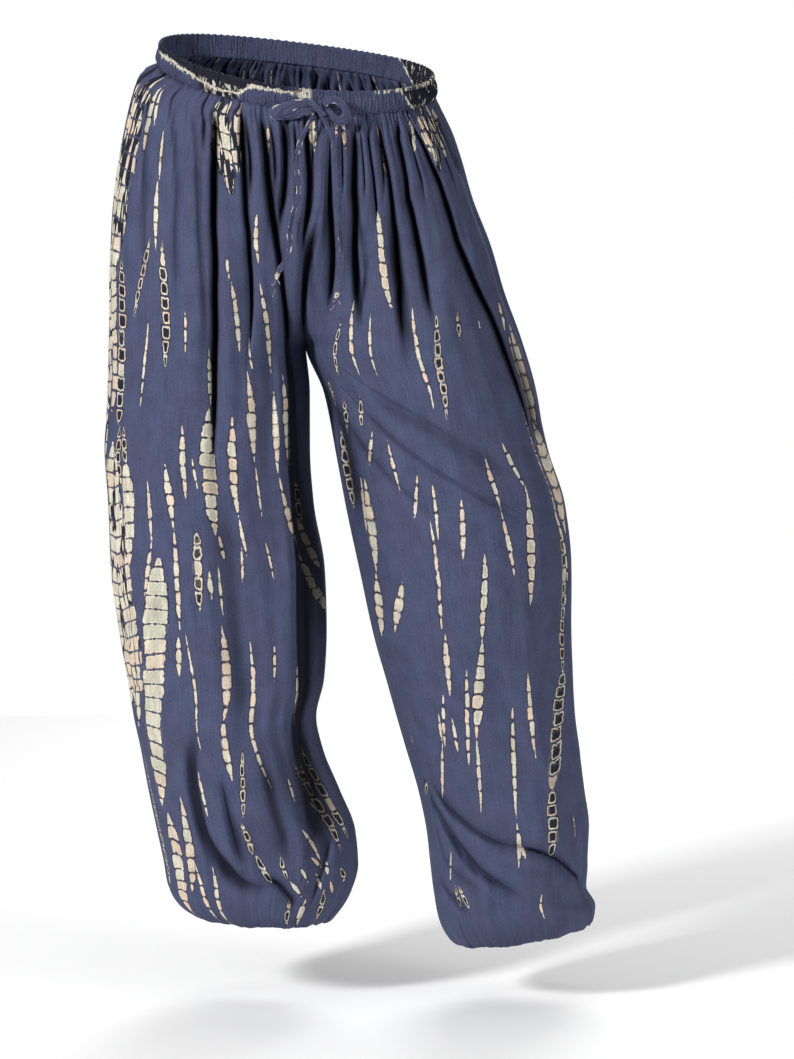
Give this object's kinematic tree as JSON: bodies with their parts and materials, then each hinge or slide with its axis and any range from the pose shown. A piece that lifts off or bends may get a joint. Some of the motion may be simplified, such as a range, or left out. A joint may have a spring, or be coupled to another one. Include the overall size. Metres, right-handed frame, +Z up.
{
  "type": "lounge pants",
  "caption": "Loose gathered lounge pants in worn form, with a drawn-up waistband tied in a bow, full hollow legs and elastic ankle casings that the cloth blouses over.",
  "frame": {"origin": "middle of the waist opening, where the wearer's waist holds the garment up", "axes": "+Z up out of the waist opening, +X to the wearer's left, -Y to the front; the wearer's left leg steps out towards +X"},
  "size_m": [0.5232, 0.2813, 0.979],
  "materials": {
    "dyed_cloth": "slate indigo plain-weave rayon, matt with a soft sheen, with chains of cream tie-dyed cells along the grain",
    "casing_cloth": "the same cloth, gathered into fine crinkles over elastic",
    "tie_cloth": "the same cloth, folded into a narrow strip with frayed ends"
  },
  "bodies": {
    "root": {"panel_front_right": "dyed_cloth", "panel_back_right": "dyed_cloth", "panel_front_left": "dyed_cloth", "panel_back_left": "dyed_cloth", "waistband": "casing_cloth", "ankle_casing_right": "casing_cloth", "ankle_casing_left": "casing_cloth", "drawstring_knot": "tie_cloth", "bow_loop_right": "tie_cloth", "bow_loop_left": "tie_cloth", "tie_tail_right": "tie_cloth", "tie_tail_left": "tie_cloth"}
  },
  "joints": []
}
